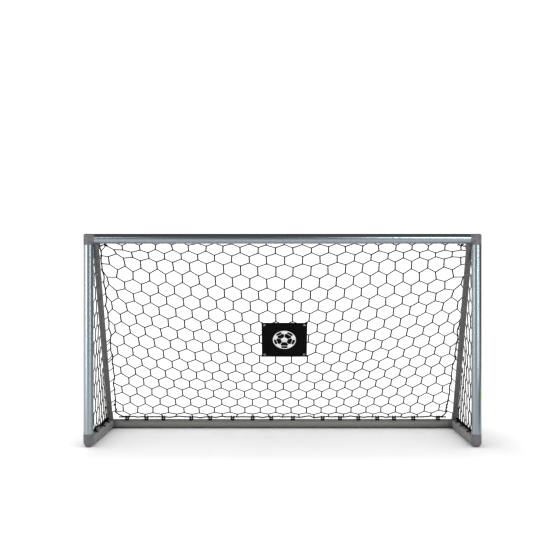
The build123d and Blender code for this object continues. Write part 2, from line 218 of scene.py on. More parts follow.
def put(node, **values):
    """Sets a node's own settings, and the values of its sockets."""
    for key, value in values.items():
        if hasattr(node, key):
            setattr(node, key, value)
        else:
            node.inputs[key.replace("_", " ")].default_value = value
    return node


def add(tree, kind, **values):
    return put(tree.nodes.new(kind), **values)


def wire(output, node, name):
    node.id_data.links.new(output, node.inputs[name])


def tint(color, share):
    return tuple(c * share for c in color)


def paint(shader, color, rough=None, **values):
    """Wires a colour and a roughness to a shader, and sets what is even all over."""
    wire(color, shader, "Base Color")
    if rough is not None:
        wire(rough, shader, "Roughness")
    put(shader, **values)


def mapped(tree, scale=(1, 1, 1), output="Object"):
    """Texture coordinates stretched by a scale for each axis."""
    place = add(tree, "ShaderNodeTexCoord")
    stretch = add(tree, "ShaderNodeMapping", Scale=scale)
    wire(place.outputs[output], stretch, "Vector")
    return stretch.outputs["Vector"]


def noise(vector, scale, detail=3.0, roughness=0.5):
    node = add(vector.id_data, "ShaderNodeTexNoise", Scale=scale, Detail=detail, Roughness=roughness)
    wire(vector, node, "Vector")
    return node.outputs["Fac"]


def ramp(value, stops):
    """A colour for each value, from stops at (value, colour)."""
    node = add(value.id_data, "ShaderNodeValToRGB")
    band = node.color_ramp
    while len(band.elements) < len(stops):
        band.elements.new(0.5)
    for element, (at, color) in zip(band.elements, stops, strict=True):
        element.position = at
        element.color = (*color, 1)
    wire(value, node, "Fac")
    return node.outputs["Color"]


def spread(value, low, high):
    """A value from 0 to 1, spread between two others."""
    node = add(value.id_data, "ShaderNodeMapRange", To_Min=low, To_Max=high)
    wire(value, node, "Value")
    return node.outputs["Result"]


def bump(shader, height, strength, distance, below=None):
    node = add(shader.id_data, "ShaderNodeBump", Strength=strength, Distance=distance)
    wire(height, node, "Height")
    if below is not None:
        wire(below, node, "Normal")
    wire(node.outputs["Normal"], shader, "Normal")
    return node.outputs["Normal"]


LINES_PER_M = 420.0  # across a drawn tube
LINES_ALONG = 1.6  # in a metre of its length


def anodised(name, axis, base, rough, metal=1.0):
    """Drawn aluminium with a satin anodised skin: fine lines along the tube, and a very fine grain."""
    material, tree, shader = principled(name)
    scale = [LINES_PER_M] * 3
    scale[axis] = LINES_ALONG
    lines = noise(mapped(tree, scale), 1.0, 2.0, 0.6)
    cloud = noise(mapped(tree), 6.0, 0.5)
    color = ramp(lines, [(0.3, tint(base, 0.93)), (0.7, base)])
    paint(shader, color, spread(cloud, rough - 0.01, rough + 0.01), Metallic=metal)
    fine = noise(mapped(tree), 1900.0, 2.0)
    first = bump(shader, fine, 0.03, 0.0001)
    bump(shader, lines, 0.03, 0.0002, first)
    return material


def moulded(name, base, rough, grain=0.12, spec=0.5):
    """Moulded plastic with a fine spark-eroded grain."""
    material, tree, shader = principled(name)
    cloud = noise(mapped(tree), 35.0, 5.0)
    color = ramp(cloud, [(0.35, tint(base, 0.9)), (0.65, tint(base, 1.1))])
    paint(shader, color, spread(cloud, rough - 0.06, rough + 0.06), Specular_IOR_Level=spec)
    pores = noise(mapped(tree), 900.0, 2.0)
    bump(shader, pores, grain, 0.0004)
    return material


def plated(name, base, rough):
    """Zinc-plated or pressed steel with a slightly cloudy surface."""
    material, tree, shader = principled(name)
    cloud = noise(mapped(tree), 160.0, 3.0)
    color = ramp(cloud, [(0.3, tint(base, 0.8)), (0.7, base)])
    paint(shader, color, spread(cloud, rough, rough + 0.15), Metallic=1.0)
    bump(shader, cloud, 0.08, 0.0002)
    return material


def cord_material(name, base, pitch):
    """Polyester cord: the fibres wind round it in slanted ridges, which are bumped and carry a painted
    highlight in the colour.
    """
    material, tree, shader = principled(name)
    wave = add(tree, "ShaderNodeTexWave", wave_type="BANDS", bands_direction="DIAGONAL")
    put(wave, Distortion=0.4, Scale=0.5)
    wire(mapped(tree, (1 / pitch, 2.0, 1.0), "UV"), wave, "Vector")
    # painted highlight: each ridge is lighter in the colour
    color = ramp(wave.outputs["Fac"], [(0.2, base), (0.9, tint(base, 1.7))])
    paint(shader, color, Roughness=0.8, Specular_IOR_Level=0.12)
    bump(shader, wave.outputs["Fac"], 0.35, 0.0003)
    return material


def coated_cloth(name, base):
    """Black coated cloth with a close plain weave under the coating."""
    material, tree, shader = principled(name)
    vector = mapped(tree)
    weave = add(tree, "ShaderNodeMath", operation="ADD")
    for socket, way in enumerate("XZ"):
        wave = add(tree, "ShaderNodeTexWave", wave_type="BANDS", bands_direction=way, Scale=260.0)
        wire(vector, wave, "Vector")
        wire(wave.outputs["Fac"], weave, socket)
    cloud = noise(vector, 30.0, 4.0)
    color = ramp(cloud, [(0.35, base), (0.7, tint(base, 1.7))])
    paint(shader, color, spread(cloud, 0.5, 0.7), Specular_IOR_Level=0.08)
    bump(shader, weave.outputs["Value"], 0.12, 0.0002)
    return material


TUBE_BASE = (0.435, 0.48, 0.507)
GROUND_BASE = (0.338, 0.334, 0.318)
looks = {
    "tube_z": anodised("anodised_upright", 2, TUBE_BASE, 0.3),
    "tube_x": anodised("anodised_cross", 0, TUBE_BASE, 0.3),
    "ground_x": anodised("ground_cross", 0, GROUND_BASE, 0.48, 0.25),
    "ground_y": anodised("ground_side", 1, GROUND_BASE, 0.48, 0.25),
    "stay": moulded("stay_coating", (0.217, 0.211, 0.204), 0.45, 0.05, 0.3),
    "corner": moulded("corner_plastic", (0.228, 0.228, 0.24), 0.5),
    "black": moulded("clip_plastic", (0.006, 0.006, 0.006), 0.5, spec=0.2),
    "inner": plated("inner_tube_steel", (0.45, 0.45, 0.45), 0.35),
    "steel": plated("zinc_plated_steel", (0.78, 0.78, 0.76), 0.22),
    "eyelet": plated("eyelet_steel", (0.85, 0.85, 0.83), 0.25),
    "cord": cord_material("net_cord", (0.0045, 0.0045, 0.0045), 0.006),
    "rope": cord_material("rope_cord", (0.0045, 0.0045, 0.0045), 0.004),
    "vinyl": coated_cloth("sign_cloth", (0.0095, 0.0095, 0.0095)),
    "print": moulded("white_print", (0.82, 0.82, 0.81), 0.45, 0.03),
    "label": moulded("label_film", (0.26, 0.43, 0.08), 0.35, 0.03),
}
NODE_LOOKS = {
    "tube_z": "_post", "tube_x": ("crossbar_left_half", "crossbar_right_half"),
    "ground_y": "_ground_bar", "ground_x": ("rear_bar_left_half", "rear_bar_right_half"),
    "stay": "_stay", "corner": "_corner", "black": ("_clips", "_guide"), "inner": ("_stub", "_sleeve"),
    "steel": ("_screws", "_button", "_spring"), "label": "post_label", "eyelet": "_eyelets",
    "vinyl": "_panel", "cord": ("_ties", "_net"), "rope": ("_rope", "_seam_cord"),
}  # look: how its nodes' names end


def dress_nodes():
    for name, obj in nodes.items():
        look = next(looks[look] for look, ends in NODE_LOOKS.items() if name.endswith(ends))
        if not obj.material_slots:
            obj.data.materials.append(look)
        for place in obj.material_slots:
            place.material = look


# ---- the hung net ----

PITCH = 0.0960
LOW_PITCH = 0.0938  # from LOW_ROW down
LOW_ROW = 11
MIDDLE_SPREAD = 0.055  # the meshes are wider round the sign than at the sides
COLUMN_SHIFT = 0.0105  # the net hangs a little off the middle
BAR = 0.049
FALL = 0.025  # what a pair of slanting strands adds to a row
STRAND_RISE = 0.0262
CORD_R = 0.0026
STAY_R = 0.017
INTO_TOP_CORNER = 0.05  # how far a stay's line is drawn out
INTO_REAR_CORNER = 0.02
END_RING = 0.0005  # how deep a tube's end is read
KEEP_OFF = 0.0035  # from a stay's surface
BEHIND_SIGN = 0.0045
SIGN_MARGIN = 0.01

GRAVITY = 0.000006  # metres a step, each step
SWING_KEPT = 0.96  # of a knot's speed, from step to step
PASSES = 10  # over all the cords in a step
SLACK = 0.93  # a cord shorter than this share pushes back
PUSH_BACK = 0.25
OVERSHOOT = 1.6  # past the mean of a knot's pulls, so that it settles sooner
FULL_STEPS = 900


def fitted_axis(name):
    """The ends of a straight tube's axis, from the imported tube's end rings."""
    points = node_points(name)
    middle = points.mean(axis=0)
    way = np.linalg.svd(points - middle, full_matrices=False)[2][0]
    way = -way if way[2] > 0 else way
    at = (points - middle) @ way
    return [points[abs(at - end) < END_RING].mean(axis=0) for end in (at.min(), at.max())]


STAYS = {side: fitted_axis(f"{word}_stay") for word, side in SIDES}


def stay_line(side):
    """The stay's axis, drawn out into both corners."""
    top, foot = STAYS[side]
    way = unit(foot - top)
    return top - way * INTO_TOP_CORNER, foot + way * INTO_REAR_CORNER


def push_off_stays(places, loose):
    """Keeps the net outside both stays."""
    for side in (-1, 1):
        top, foot = stay_line(side)
        way = foot - top
        t = np.clip(((places - top) @ way) / (way @ way), 0, 1)
        near = top + t[:, None] * way
        out = places - near
        far = norm(out, axis=1)
        inside = (far < STAY_R + KEEP_OFF) & loose & (t < 0.999)
        scale = (STAY_R + KEEP_OFF) / np.maximum(far, 1e-6)
        places = np.where(inside[:, None], near + out * scale[:, None], places)
    return places


def push_back_net(places, loose):
    """Keeps the back net outside the stays and behind the sign."""
    places = push_off_stays(places, loose)
    from_sign = places - SIGN_MIDDLE
    across, up, out = from_sign[:, 0], from_sign @ SIGN_UP, from_sign @ SIGN_OUT
    over = (abs(across) < SIGN_W / 2 + SIGN_MARGIN) & (abs(up) < SIGN_H / 2 + SIGN_MARGIN)
    over &= (out > -BEHIND_SIGN) & loose
    return places - np.where(over, out + BEHIND_SIGN, 0)[:, None] * SIGN_OUT


class Net:
    """A panel of hexagonal net: knots, and strands of a few segments each."""

    def __init__(self):
        self.places, self.loose = [], []
        self.strands = []  # (kind, the places' numbers)
        self.edges, self.rest = [], []

    def knot(self, place, loose=True):
        self.places.append(np.asarray(place, float))
        self.loose.append(loose)
        return len(self.places) - 1

    def strand(self, kind, a, b, length, parts, via=None):
        """A cord from one knot to another, by way of a point or straight."""
        pa, pb = self.places[a], self.places[b]
        via = (pa + pb) / 2 if via is None else via
        line = [a]
        for i in range(1, parts):
            t = 2 * i / parts
            line.append(self.knot(pa + (via - pa) * t if t < 1 else via + (pb - via) * (t - 1)))
        line.append(b)
        self.strands.append((kind, line))
        for i, j in zip(line, line[1:], strict=False):
            self.edges.append((i, j))
            self.rest.append(length / parts)

    def hang(self, steps, push):
        """Lets the knots hang: gravity, cords that don't stretch, and surfaces that push."""
        places, loose, rest = np.array(self.places), np.array(self.loose), np.array(self.rest)
        first, second = np.array(self.edges).T
        weight = loose.astype(float)
        share = weight[first] + weight[second]
        share[share == 0] = 1.0
        meets = np.maximum(np.bincount(np.concatenate([first, second]), minlength=len(places)), 1)
        before = places.copy()
        for _ in range(steps):
            speed = (places - before) * SWING_KEPT
            before = places.copy()
            places = places + loose[:, None] * (speed - np.array([0, 0, GRAVITY]))
            for _ in range(PASSES):
                gap = places[second] - places[first]
                length = norm(gap, axis=1)
                excess = np.maximum(length - rest, 0) + PUSH_BACK * np.minimum(length - rest * SLACK, 0)
                move = gap * (excess / np.maximum(length, 1e-9) / share)[:, None]
                total = np.zeros_like(places)
                for k in range(3):
                    total[:, k] += np.bincount(first, move[:, k] * weight[first], len(places))
                    total[:, k] -= np.bincount(second, move[:, k] * weight[second], len(places))
                places = places + total / meets[:, None] * OVERSHOOT
            places = push(places, loose)
        self.places = places


ROWS = 19
COLUMNS = 23
FIRST_BARS = (0.037, 0.034, 0.046, 0.053, 0.053)  # the rows by the crossbar
LOW_BAR = 0.0428  # those below the sign are shorter
LAST_BAR = 0.027
LAST_STRAND = 0.0488  # the strands above the last bars run nearly level
LAST_SHARE = 0.985  # the lowest that a last bar starts
PITCH_ROW = 4  # from here down the meshes narrow, as far as LOW_ROW
NET_BOW = 0.048  # inwards, at the middle
KNOT_WANDER = 0.0022
BAR_VARIES = 0.03
STRAND_VARIES = 0.02
TIE_WANDER = 0.013  # along the rear rope
DRAWN_TIGHT = 1.01  # a gathered cord's length over its place's

SEAM_HALF = 1.0275
SEAM_TOP_SHIFT = {-1: 0.005, 1: 0.032}  # both tops lie to the right
SEAM_FOOT_SHIFT = 0.012  # both feet lie a little to the left
SEAM_INWARD = 0.002
SEAM_BEHIND = 0.021  # the stay's line
SEAM_WAVES = [(4.3, 0.0022), (8.7, 0.003), (15.5, 0.0022)]  # (how many, how deep)
SEAM_STRAND = 0.84  # the upper strands that are tied to a seam are shorter

GATHERED_ROWS = 3  # drawn together towards the top corners
GATHERED_SHARE = 0.074  # of the net's length, at the seam
GATHERED_BAR = 0.62
SECOND_ROW = 2
SECOND_ROW_DROP = 0.035  # the first meshes tied to the seam lie lower than the rest
EDGE_X = 0.82  # from here out the rows lie as high as at the seam
SIDE_CHANGE_X = 0.66
SIDE_CHANGE_WIDTH = 0.25
SIDE_CHANGE_ROWS = range(2, 7)
UPPER_SHORTENING = 0.085
LOWER_LENGTHENING = 0.06


def bar_length(row):
    if row < len(FIRST_BARS):
        return FIRST_BARS[row]
    if row == ROWS - 1:
        return LAST_BAR
    return BAR if row <= LOW_ROW else LOW_BAR


ROW_TOPS = [sum(bar_length(k) + FALL for k in range(row)) for row in range(ROWS)]
NET_LENGTH = ROW_TOPS[-1] + LAST_BAR
seam_phases = {side: rng.uniform(0, 2 * math.pi, (3, 2)) for side in (-1, 1)}


def seam_place(side, share):
    """A point on the seam behind the stay, share being 0 at the crossbar and 1 at the rear bar."""
    share = min(max(share, 0.0), 1.0)
    x = side * SEAM_HALF + SEAM_TOP_SHIFT[side] * (1 - share) - SEAM_FOOT_SHIFT * share**5
    start = np.array([x, ROPE_BACK_Y + 0.004, CROSSBAR_Z - 0.006])
    end = np.array([x, REAR_Y - 0.004, REAR_ROPE_Z + 0.012])
    top, foot = stay_line(side)
    out = np.cross(unit(foot - top), (1, 0, 0))
    out = out if out[1] > 0 else -out
    behind = SEAM_BEHIND * math.sin(math.pi * share) ** 0.6
    inward, depth = SEAM_INWARD * math.sin(math.pi * share**1.7), 0.0
    fade = math.sin(math.pi * share) ** 0.4
    for (turns, size), (first, second) in zip(SEAM_WAVES, seam_phases[side], strict=True):
        inward += size * fade * math.sin(2 * math.pi * turns * share + first)
        depth += 0.8 * size * fade * math.sin(2 * math.pi * turns * share + second)
    return start + (end - start) * share + out * (behind + abs(depth)) - np.array([side * inward, 0, 0])


def side_change(row, x):
    """How the bars between the middle and the sides differ: shorter high up and longer low down."""
    near = math.exp(-(((abs(x) - SIDE_CHANGE_X) / SIDE_CHANGE_WIDTH) ** 2))
    if row in SIDE_CHANGE_ROWS:
        return 1 - UPPER_SHORTENING * near
    return 1 + LOWER_LENGTHENING * near if LOW_ROW < row < ROWS - 1 else 1.0


def row_pitch(row):
    fall = min(max((row - PITCH_ROW) / (LOW_ROW - PITCH_ROW), 0.0), 1.0)
    return PITCH + (LOW_PITCH - PITCH) * fall


def column_x(row, column, share):
    """How far to the right a column of meshes lies in a row."""
    edge = (column / (COLUMNS / 2 - 1)) ** 2
    spread = MIDDLE_SPREAD * math.sin(math.pi * row / ROWS) ** 2 * (1 - edge)
    x = column * row_pitch(row) * (1 + spread) + COLUMN_SHIFT * (1 - 0.7 * edge)
    return x - SEAM_FOOT_SHIFT * share**5


def row_share(row, x, low):
    """How far down the net the top or the low end of a bar lies: the sides run higher than the middle."""
    middle = (ROW_TOPS[row] + low * bar_length(row)) / NET_LENGTH
    below, count = row - GATHERED_ROWS, ROWS - 1 - GATHERED_ROWS
    half = 0.5 * BAR / NET_LENGTH
    if below >= 0:
        edge = GATHERED_SHARE + (1 - GATHERED_SHARE) / count * below * (1 + 0.2 * (1 - below / count))
    else:
        edge = GATHERED_SHARE * (row / GATHERED_ROWS) ** 1.6
        half *= GATHERED_BAR
    edge = edge + (half if low else -half)
    if row == 0:
        edge = min(max(edge, 0.0), 1.0) if low else 0.0
    if row == ROWS - 1:
        edge = 1.0 if low else min(max(edge, 0.0), LAST_SHARE)
    side = math.sin(math.pi / 2 * min(abs(x) / EDGE_X, 1.0) ** 1.3)
    return middle * (1 - side) + edge * side


def back_place(x, share):
    """The back panel's first guess: from the crossbar to the rear bar, bowed in."""
    seam = seam_place(1 if x > 0 else -1, share)
    top = np.array([0, ROPE_BACK_Y, CROSSBAR_Z])
    end = np.array([0, REAR_Y, REAR_ROPE_Z])
    line = top + (end - top) * share
    inward = np.cross((1, 0, 0), unit(end - top))
    inward = inward if inward[1] < 0 else -inward
    middle = line + inward * NET_BOW * math.sin(math.pi * share)
    blend = (abs(x) / SEAM_HALF) ** 4
    place = middle * (1 - blend) + np.array([0, seam[1], seam[2]]) * blend
    place[0] = x
    return place


def back_panel():
    """The back net: rows of doubled bars joined by single slanting strands."""
    net = Net()
    tops, lows = {}, {}
    for row in range(ROWS):
        half = COLUMNS // 2 if row % 2 == 0 else COLUMNS // 2 - 0.5
        for i in range(int(half * 2) + 1):
            column = i - half
            on_seam = row % 2 == 0 and abs(column) == half
            for low, found in ((0, tops), (1, lows)):
                x = column_x(row, column, ROW_TOPS[row] / NET_LENGTH)
                share = row_share(row, x, low)
                if on_seam:
                    place = seam_place(np.sign(column), share + SECOND_ROW_DROP * (row == SECOND_ROW))
                else:
                    place = back_place(x, share) + rng.normal(0, KNOT_WANDER, 3) * (0 < share < 1)
                found[row, column] = net.knot(place, loose=not on_seam and 0.0001 < share < 0.9999)
            if on_seam:
                continue
            a, b = tops[row, column], lows[row, column]
            length = bar_length(row) * side_change(row, x)
            if row < GATHERED_ROWS or row == ROWS - 1:
                length = min(length, DRAWN_TIGHT * norm(net.places[a] - net.places[b]))
            net.strand("bar", a, b, length * rng.normal(1, BAR_VARIES), 2)
    for (row, column), a in list(lows.items()):
        for step in (-0.5, 0.5):
            b = tops.get((row + 1, column + step))
            if b is None:
                continue
            length = math.hypot(row_pitch(row) / 2, STRAND_RISE)
            if GATHERED_ROWS <= row <= LOW_ROW and not (net.loose[a] and net.loose[b]):
                length *= SEAM_STRAND
            if row == ROWS - 2:
                length = LAST_STRAND
            if row <= GATHERED_ROWS:
                length = min(length, DRAWN_TIGHT * norm(net.places[a] - net.places[b]))
            net.strand("strand", a, b, length * rng.normal(1, STRAND_VARIES), 3)
    return net, tops, lows


def tie_to_ropes(net, tops, lows):
    """Moves the net's held ends onto the crossbar's rope and the rear rope."""
    for (row, _), index in [*tops.items(), *lows.items()]:
        if row == 0 and not net.loose[index]:
            net.places[index] = on_rope("crossbar_rope", net.places[index][0])
    for (row, _), index in lows.items():
        if row == ROWS - 1 and not net.loose[index]:
            x = net.places[index][0] + rng.uniform(-TIE_WANDER, TIE_WANDER)
            net.places[index] = on_rope("rear_rope", x)


def sign_corners():
    """Where the sign's eyelets lie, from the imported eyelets."""
    points = node_points("sign_eyelets")
    middle = points.mean(axis=0)
    groups = {}
    for p in points:
        groups.setdefault((p[0] > middle[0], p[2] > middle[2]), []).append(p)
    return [np.mean(g, axis=0) for g in groups.values()]


SIDE_PITCH = 0.077  # the side nets hang drawn together
SIDE_STRAND = 0.0535
SIDE_KNOT_WANDER = 0.006
SIDE_OUT, SIDE_DEPTH = 0.004, 0.009  # where the side nets lie, outside the posts' axes
BORDER = 0.004  # as near as loose knots lie to the ropes
BEHIND_STAY = 0.012  # how far the side nets reach


def side_panel(side):
    """A side net: the same mesh cut to the triangle of post, side bar and stay."""
    net = Net()
    front_y, low_z = ROPE_BACK_Y, SIDE_ROPE_Z
    top, foot = stay_line(side)
    slope = (foot[1] - top[1]) / (top[2] - foot[2])
    wall_x = side * (POST_X + SIDE_OUT)

    def seam_share(z):
        """The share of the seam that is at a height."""
        low, high = 0.0, 1.0
        for _ in range(24):
            middle = (low + high) / 2
            low, high = (middle, high) if seam_place(side, middle)[2] > z else (low, middle)
        return low

    def inside(y, z):
        rear_y = top[1] + slope * (top[2] - z) + BEHIND_STAY
        return y > front_y + BORDER and z > low_z + BORDER and y < rear_y

    def border(a, b):
        """Where a strand that leaves the panel ends: the place, its share, and a point behind the stay."""
        for t in np.linspace(0, 1, 60):
            y, z = a[0] + (b[0] - a[0]) * t, a[1] + (b[1] - a[1]) * t
            if inside(y, z):
                continue
            if y <= front_y + BORDER:
                return np.array([side * POST_X, front_y, z]), t, None
            if z <= low_z + BORDER:
                return np.array([side * POST_X, min(y, REAR_Y - 0.06), low_z]), t, None
            on_stay = top + (foot - top) * (top[2] - z) / (top[2] - foot[2])
            return seam_place(side, seam_share(z)), t, on_stay + np.array([0, STAY_R + KEEP_OFF + 0.006, 0])
        return None, 1.0, None

    lattice, found = {}, {}
    columns = int((REAR_Y - front_y) / SIDE_PITCH) + 3
    for row in range(int((CROSSBAR_Z - low_z) / (BAR + FALL)) + 2):
        z_top = CROSSBAR_Z - 0.02 - row * (BAR + FALL)
        for i in range(-2, columns):
            column = i + (0.5 if row % 2 else 0)
            y = front_y + 0.02 + column * SIDE_PITCH
            lattice[row, column, "top"] = (y, z_top)
            lattice[row, column, "low"] = (y, z_top - BAR)
    pairs = []
    for row, column, end in lattice:
        if end == "top":
            pairs.append(((row, column, "top"), (row, column, "low"), "bar", BAR))
        else:
            for step in (-0.5, 0.5):
                other = (row + 1, column + step, "top")
                if other in lattice:
                    pairs.append(((row, column, "low"), other, "strand", SIDE_STRAND))
    for key, (y, z) in lattice.items():
        if inside(y, z):
            shift = rng.normal(0, SIDE_KNOT_WANDER, 2)
            found[key] = net.knot((wall_x + side * rng.uniform(0, SIDE_DEPTH), y + shift[0], z + shift[1]))
    for a, b, kind, length in pairs:
        if a not in found and b not in found:
            continue
        if a in found and b in found:
            net.strand(kind, found[a], found[b], length * rng.normal(1.01, STRAND_VARIES), 4)
            continue
        start, far = (a, b) if a in found else (b, a)
        place, share, behind = border(lattice[start], lattice[far])
        if place is None:
            continue
        end = net.knot(place, loose=False)
        near = net.places[found[start]]
        gap = norm(place - near) if behind is None else norm(behind - near) + norm(place - behind)
        line = (found[start], end) if a in found else (end, found[start])
        net.strand(kind, *line, max(gap * 1.04, length * share), 4, behind)
    return net


# ---- ropes ----

EYE = 0.013  # half of the length that a clip holds straight
SLACK_AT = (0.3, 0.52, 0.75)  # where a rope wanders between two clips
ROPE_TWIST = (0.0016, 0.0020, 0.018, (8, 6), 3)  # radius, strand, lay, turns and sides, strands
SEAM_TWIST = (0.0016, 0.0019, 0.022, (8, 6), 3)
rope_routes = {}  # name: (axis, route)


def smooth(line, parts):
    """A curve through the points of a line."""
    line = np.asarray(line, float)
    if len(line) < 3:
        return line
    ends = np.concatenate([[2 * line[0] - line[1]], line, [2 * line[-1] - line[-2]]])
    found = []
    for a, b, c, d in zip(ends, ends[1:], ends[2:], ends[3:], strict=False):
        for t in np.arange(parts) / parts:
            square = (2 * a - 5 * b + 4 * c - d) * t**2
            cube = (3 * b - a - 3 * c + d) * t**3
            found.append(0.5 * (2 * b + (c - a) * t + square + cube))
    return np.array(found + [line[-1]])


def rope_route(name, axis, clips, wander, lift):
    """A rope through its clips' eyes, a little slack between them. The ends stay where the CAD rope's are."""
    low, high = box(name)
    middle = (low + high) / 2
    stops = sorted(places_along(clips, axis))
    points = []

    def at(value, offset=(0, 0, 0)):
        place = middle.copy()
        place[axis] = value
        points.append(place + np.array(offset))

    at(low[axis] + 0.001)
    for i, stop in enumerate(stops):
        if i and stop - stops[i - 1] > 4 * EYE:
            span = stop - stops[i - 1]
            for t in SLACK_AT:
                offset = rng.normal(0, wander, 3)
                offset[axis] = 0
                offset[2] += lift * rng.uniform(-0.6, 1.0) * math.sin(math.pi * t)
                at(stops[i - 1] + span * (t + rng.uniform(-0.06, 0.06)), offset)
        at(stop - EYE)
        at(stop + EYE)
    at(high[axis] - 0.001)
    points = np.array(points)
    points = points[np.argsort(points[:, axis])]
    keep = np.concatenate([[True], np.diff(points[:, axis]) > 0.004])
    route = smooth(points[keep], 6)
    rope_routes[name] = (axis, route)
    return route


def on_rope(name, value):
    """The point of a rope at a place along it."""
    axis, route = rope_routes[name]
    value = float(np.clip(value, route[0, axis], route[-1, axis]))
    return np.array([np.interp(value, route[:, axis], route[:, k]) for k in range(3)])


# (name, axis, clips, how far it wanders, how far its slack lifts)
ROPES = (
    ("crossbar_rope", 0, "crossbar_clips", 0.0012, 0.0),
    ("rear_rope", 0, "rear_bar_clips", 0.0016, 0.005),
    *((f"{word}_post_rope", 2, f"{word}_post_clips", 0.002, 0.0) for word, _ in SIDES),
    *((f"{word}_bar_rope", 1, f"{word}_bar_clips", 0.0018, 0.004) for word, _ in SIDES),
)


def make_ropes():
    """The laid ropes, with a knot at each end and cord gathered in the rear bar's clips."""
    for name, axis, clips, wander, lift in ROPES:
        rope = Strands()
        route = rope_route(name, axis, clips, wander, lift)
        rope.twisted(route, *ROPE_TWIST)
        if name == "rear_rope":
            for x in places_along(clips, axis):
                rope.knot(on_rope(name, x) + np.array([0, 0, -0.002]), (1, 0, 0), 0.018, 0.011)
        for end in (0, -1):
            rope.knot(route[end], route[1] - route[0], 0.011, 0.009)
        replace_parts(rope.build(f"{name}_laid", "rope", "net_cord"), name)


def make_seams():
    """The cords behind the stays, with a knot where each mesh is tied to them.

    Known flaw: at the foot the two places are one, so that knot has no direction and no size,
    and Blender puts its points at the frame's origin.
    """
    for word, side in SIDES:
        route = [seam_place(side, share) for share in np.linspace(0, 0.985, 90)]
        route += [on_rope("rear_rope", side * reach) + np.array([0, 0, 0.004]) for reach in (0.995, 0.965)]
        seam = Strands()
        seam.twisted(smooth(route, 2), *SEAM_TWIST)
        for row in range(0, ROWS, 2):
            for low in (0, 1):
                share = row_share(row, SEAM_HALF, low)
                place, after = seam_place(side, share), seam_place(side, share + 0.004)
                seam.knot(place, after - place, rng.uniform(0.010, 0.018), rng.uniform(0.0075, 0.0095))
        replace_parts(seam.build(f"{word}_seam_laid", "rope", "net_cord"), f"{word}_seam_cord")


def lacing(route, gap, wide, above=0.0):
    """A net's edge cord drawn round a rope in uneven turns."""
    way = route[-1] - route[0]
    length = norm(way)
    way /= length
    side = unit(np.cross(way, AWRY))
    up = np.cross(way, side)
    line, at, angle = [], 0.004, rng.uniform(0, 6.28)
    while at < length - 0.004:
        index = min(int(at / length * (len(route) - 1)), len(route) - 1)
        reach = wide * rng.uniform(0.55, 1.0)
        out = math.cos(angle) * side + math.sin(angle) * up
        line.append(route[index] + out * reach + np.array([0, 0, above * rng.uniform(0, 1)]))
        angle += rng.uniform(0.9, 1.9)
        at += gap * rng.uniform(0.1, 0.45)
    return smooth(line, 3)


EDGE_CORD_R = 0.0017
TANGLES_ALONG_BAR = (0.12, 0.29, 0.47, 0.63, 0.8, 0.95)  # shares of the side bar's rope
TANGLES_ALONG_SEAM = (0.940, 0.955, 0.966, 0.977)


def tangle(place, size, turns):
    """A small bunch of gathered net."""
    points = np.asarray(place) + rng.normal(0, 1, (turns, 3)) * np.asarray(size) * 0.5
    return smooth(points, 4)


def make_edges():
    """Where the net's edges are gathered on the side ropes and in the top corners."""
    for word, side in SIDES:
        edge = Strands()
        bar = rope_routes[f"{word}_bar_rope"][1]
        edge.tube(lacing(bar, 0.055, 0.008, 0.005), EDGE_CORD_R)
        edge.tube(lacing(rope_routes[f"{word}_post_rope"][1], 0.06, 0.006), EDGE_CORD_R)
        for share in TANGLES_ALONG_BAR:
            place = bar[int(share * (len(bar) - 1))] + np.array([0, 0, 0.006])
            edge.tube(tangle(place, (0.006, 0.012, 0.006), 6), EDGE_CORD_R)
        corner = np.array([side * (SEAM_HALF - 0.012), ROPE_BACK_Y + 0.01, CROSSBAR_Z - TUBE_R - 0.01])
        for step in range(3):
            shift = np.array([-side * 0.016 * step, 0.002, 0.002 * step])
            edge.tube(tangle(corner + shift, (0.012, 0.008, 0.009), 8), EDGE_CORD_R)
        edge.build(f"{word}_net_edge")


def make_seam_feet():
    """The net gathered where the seams come down to the rear rope."""
    for word, side in SIDES:
        foot = Strands()
        for share in TANGLES_ALONG_SEAM:
            foot.tube(tangle(seam_place(side, share), (0.009, 0.006, 0.007), 8), EDGE_CORD_R)
        foot.build(f"{word}_seam_foot")


# ---- drawing the net ----

BAR_TWIST = (0.0018, 0.0022)  # the radius they wind at, and their own
BAR_LAY = 0.021
BAR_KNOT = (0.0085, 0.0056)  # long, wide
HELD_KNOT = (0.009, 0.0085)
SIDE_THICK = 0.8  # the side nets' cords look thinner


def draw_net(net, word, node, thick=1.0):
    """A hung net's pieces: twisted bars, plain strands, and knots. The strands stand for the node."""
    bars, strands, knots = Strands(), Strands(), Strands()
    places = net.places
    for kind, line in net.strands:
        path = smooth(places[line], 2)
        if kind == "bar":
            radii = [radius * thick for radius in BAR_TWIST]
            bars.twisted(path, *radii, BAR_LAY, (6, 5), 2, rng.uniform(0, 6.28))
            for end, inner in ((0, 1), (-1, -2)):
                size = rng.uniform(0.9, 1.15)
                knots.knot(path[end], path[end] - path[inner], *(side * size for side in BAR_KNOT))
        else:
            strands.tube(path, CORD_R * thick * rng.uniform(0.94, 1.06))
    for index, loose in enumerate(net.loose):
        if not loose:
            knots.knot(places[index], (1, 0.2, 0.1), *HELD_KNOT)
    bars.build(f"{word}_net_bars")
    strands_piece = strands.build(f"{word}_net_strands")
    knots.build(f"{word}_net_knots")
    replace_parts(strands_piece, node)


# ---- the snap buttons' springs ----

SPRING_R = 0.0044
SPRING_WIRE_R = 0.00045
SPRING_TURNS = 6


